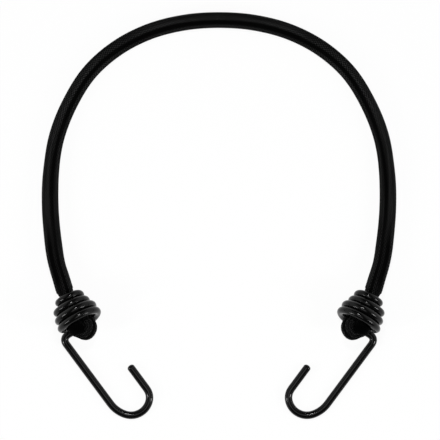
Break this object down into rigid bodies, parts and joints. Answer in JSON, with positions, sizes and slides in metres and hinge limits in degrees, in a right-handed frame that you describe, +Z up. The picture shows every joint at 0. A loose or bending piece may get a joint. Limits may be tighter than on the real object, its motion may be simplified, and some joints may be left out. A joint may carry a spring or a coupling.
{
  "type": "bungee strap",
  "caption": "Elastic bungee strap: a round braided black cord with a rubber-strand core, knotted into the conical coil of a coated wire hook at each end.",
  "frame": {"origin": "centre of the strap's box in plan, on the surface that it lies on", "axes": "+X towards the right hook's side, +Y from the hooks to the crown of the arch, +Z up from the surface"},
  "size_m": [0.1816, 0.2085, 0.0238],
  "materials": {
    "braid": "matt braided polyester, black",
    "rubber_core": "natural latex rubber",
    "hook_wire": "steel wire with a smooth gloss black plastic coat"
  },
  "bodies": {
    "crown": {"crown_sheath": "braid", "crown_core_strand_1": "rubber_core", "crown_core_strand_2": "rubber_core", "crown_core_strand_3": "rubber_core", "crown_core_strand_4": "rubber_core", "crown_core_strand_5": "rubber_core", "crown_core_strand_6": "rubber_core", "crown_core_strand_7": "rubber_core"},
    "left_arm": {"left_arm_sheath": "braid", "left_arm_core_strand_1": "rubber_core", "left_arm_core_strand_2": "rubber_core", "left_arm_core_strand_3": "rubber_core", "left_arm_core_strand_4": "rubber_core", "left_arm_core_strand_5": "rubber_core", "left_arm_core_strand_6": "rubber_core", "left_arm_core_strand_7": "rubber_core"},
    "left_end": {"left_end_knot": "braid"},
    "left_hook": {"left_wire_hook": "hook_wire"},
    "right_arm": {"right_arm_sheath": "braid", "right_arm_core_strand_1": "rubber_core", "right_arm_core_strand_2": "rubber_core", "right_arm_core_strand_3": "rubber_core", "right_arm_core_strand_4": "rubber_core", "right_arm_core_strand_5": "rubber_core", "right_arm_core_strand_6": "rubber_core", "right_arm_core_strand_7": "rubber_core"},
    "right_end": {"right_end_knot": "braid"},
    "right_hook": {"right_wire_hook": "hook_wire"}
  },
  "joints": [
    {"name": "left_flex", "type": "hinge", "parent": "crown", "child": "left_arm", "pos_m": [-0.0526, 0.086, 0.00386], "axis": [0, 0, -1], "range_deg": [-5, 60], "deforming": ["left_arm_sheath", "left_arm_core_strand_1", "left_arm_core_strand_2", "left_arm_core_strand_3", "left_arm_core_strand_4", "left_arm_core_strand_5", "left_arm_core_strand_6", "left_arm_core_strand_7"]},
    {"name": "left_stretch", "type": "slide", "parent": "left_arm", "child": "left_end", "axis": [0, -1, 0], "range_m": [0, 0.1], "stiffness_N_per_m": 1000},
    {"name": "left_swivel", "type": "hinge", "parent": "left_end", "child": "left_hook", "pos_m": [-0.0788, -0.0384, 0.00821], "axis": [0.3963, -0.8901, 0.225], "continuous": true},
    {"name": "right_flex", "type": "hinge", "parent": "crown", "child": "right_arm", "pos_m": [0.0526, 0.086, 0.00386], "axis": [0, 0, 1], "range_deg": [-5, 60], "deforming": ["right_arm_sheath", "right_arm_core_strand_1", "right_arm_core_strand_2", "right_arm_core_strand_3", "right_arm_core_strand_4", "right_arm_core_strand_5", "right_arm_core_strand_6", "right_arm_core_strand_7"]},
    {"name": "right_stretch", "type": "slide", "parent": "right_arm", "child": "right_end", "axis": [0, -1, 0], "range_m": [0, 0.1], "stiffness_N_per_m": 1000},
    {"name": "right_swivel", "type": "hinge", "parent": "right_end", "child": "right_hook", "pos_m": [0.0788, -0.0384, 0.00821], "axis": [-0.3963, -0.8901, 0.225], "continuous": true}
  ],
  "couplings": [
    {"joint": "right_stretch", "follows": "left_stretch", "ratio": 1}
  ]
}
